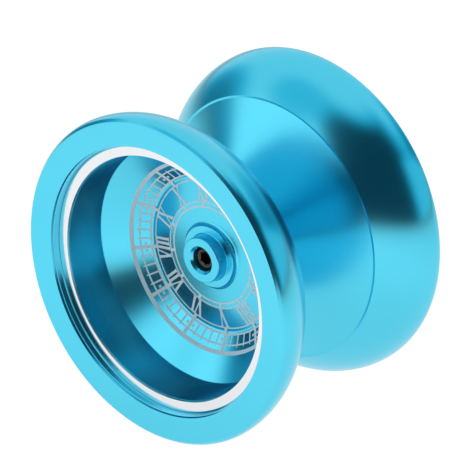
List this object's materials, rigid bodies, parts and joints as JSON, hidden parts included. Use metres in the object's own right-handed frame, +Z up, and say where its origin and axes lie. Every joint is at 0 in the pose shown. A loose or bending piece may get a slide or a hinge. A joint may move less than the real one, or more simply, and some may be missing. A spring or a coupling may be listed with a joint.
{
  "type": "yo-yo",
  "caption": "Two-part metal ball-bearing yo-yo with cupped halves, polished weight rings, a screw axle and silicone response pads.",
  "frame": {"origin": "on the spin axis, midway between the two halves", "axes": "+Y along the spin axis from side a to side b, +Z up with the yo-yo standing on its rims"},
  "size_m": [0.056, 0.039, 0.056],
  "materials": {
    "anodised_aluminium": "polished turned metal, anodised cyan",
    "polished_steel": "mirror polished",
    "axle_steel": "dark oxide",
    "bearing_steel": "ground",
    "ball_steel": "mirror polished",
    "cage_plastic": "moulded",
    "shield_steel": "stamped sheet",
    "silicone": "matt silicone"
  },
  "bodies": {
    "half_a_hub": {"half_a": "anodised_aluminium", "rim_ring_a": "polished_steel", "axle": "axle_steel", "bearing_inner_ring": "bearing_steel", "response_pad_a": "silicone"},
    "half_b_shell": {"half_b": "anodised_aluminium", "rim_ring_b": "polished_steel", "response_pad_b": "silicone"},
    "bearing_outer": {"bearing_outer_ring": "bearing_steel", "bearing_shield_a": "shield_steel", "bearing_shield_b": "shield_steel", "shield_clip_a": "shield_steel", "shield_clip_b": "shield_steel"},
    "cage": {"bearing_cage": "cage_plastic"},
    "rolling_ball_1": {"ball_1": "ball_steel"},
    "rolling_ball_2": {"ball_2": "ball_steel"},
    "rolling_ball_3": {"ball_3": "ball_steel"},
    "rolling_ball_4": {"ball_4": "ball_steel"},
    "rolling_ball_5": {"ball_5": "ball_steel"},
    "rolling_ball_6": {"ball_6": "ball_steel"},
    "rolling_ball_7": {"ball_7": "ball_steel"},
    "rolling_ball_8": {"ball_8": "ball_steel"},
    "rolling_ball_9": {"ball_9": "ball_steel"},
    "rolling_ball_10": {"ball_10": "ball_steel"}
  },
  "joints": [
    {"name": "bearing_spin", "type": "hinge", "parent": "half_a_hub", "child": "bearing_outer", "pos_m": [0, 0, 0], "axis": [0, 1, 0], "continuous": true},
    {"name": "cage_spin", "type": "hinge", "parent": "half_a_hub", "child": "cage", "pos_m": [0, 0, 0], "axis": [0, 1, 0], "continuous": true},
    {"name": "ball_1_roll", "type": "hinge", "parent": "cage", "child": "rolling_ball_1", "pos_m": [0, 0, 0.00476], "axis": [0, 1, 0], "continuous": true},
    {"name": "ball_2_roll", "type": "hinge", "parent": "cage", "child": "rolling_ball_2", "pos_m": [0.0028, 0, 0.00385], "axis": [0, 1, 0], "continuous": true},
    {"name": "ball_3_roll", "type": "hinge", "parent": "cage", "child": "rolling_ball_3", "pos_m": [0.00453, 0, 0.00147], "axis": [0, 1, 0], "continuous": true},
    {"name": "ball_4_roll", "type": "hinge", "parent": "cage", "child": "rolling_ball_4", "pos_m": [0.00453, 0, -0.00147], "axis": [0, 1, 0], "continuous": true},
    {"name": "ball_5_roll", "type": "hinge", "parent": "cage", "child": "rolling_ball_5", "pos_m": [0.0028, 0, -0.00385], "axis": [0, 1, 0], "continuous": true},
    {"name": "ball_6_roll", "type": "hinge", "parent": "cage", "child": "rolling_ball_6", "pos_m": [0, 0, -0.00476], "axis": [0, 1, 0], "continuous": true},
    {"name": "ball_7_roll", "type": "hinge", "parent": "cage", "child": "rolling_ball_7", "pos_m": [-0.0028, 0, -0.00385], "axis": [0, 1, 0], "continuous": true},
    {"name": "ball_8_roll", "type": "hinge", "parent": "cage", "child": "rolling_ball_8", "pos_m": [-0.00453, 0, -0.00147], "axis": [0, 1, 0], "continuous": true},
    {"name": "ball_9_roll", "type": "hinge", "parent": "cage", "child": "rolling_ball_9", "pos_m": [-0.00453, 0, 0.00147], "axis": [0, 1, 0], "continuous": true},
    {"name": "ball_10_roll", "type": "hinge", "parent": "cage", "child": "rolling_ball_10", "pos_m": [-0.0028, 0, 0.00385], "axis": [0, 1, 0], "continuous": true},
    {"name": "half_b_release", "type": "slide", "parent": "half_a_hub", "child": "half_b_shell", "axis": [0, 1, 0], "range_m": [0, 0.02]}
  ],
  "couplings": [
    {"joint": "cage_spin", "follows": "bearing_spin", "ratio": 0.58336},
    {"joint": "ball_1_roll", "follows": "bearing_spin", "ratio": 2.9157},
    {"joint": "ball_2_roll", "follows": "bearing_spin", "ratio": 2.9157},
    {"joint": "ball_3_roll", "follows": "bearing_spin", "ratio": 2.9157},
    {"joint": "ball_4_roll", "follows": "bearing_spin", "ratio": 2.9157},
    {"joint": "ball_5_roll", "follows": "bearing_spin", "ratio": 2.9157},
    {"joint": "ball_6_roll", "follows": "bearing_spin", "ratio": 2.9157},
    {"joint": "ball_7_roll", "follows": "bearing_spin", "ratio": 2.9157},
    {"joint": "ball_8_roll", "follows": "bearing_spin", "ratio": 2.9157},
    {"joint": "ball_9_roll", "follows": "bearing_spin", "ratio": 2.9157},
    {"joint": "ball_10_roll", "follows": "bearing_spin", "ratio": 2.9157}
  ]
}
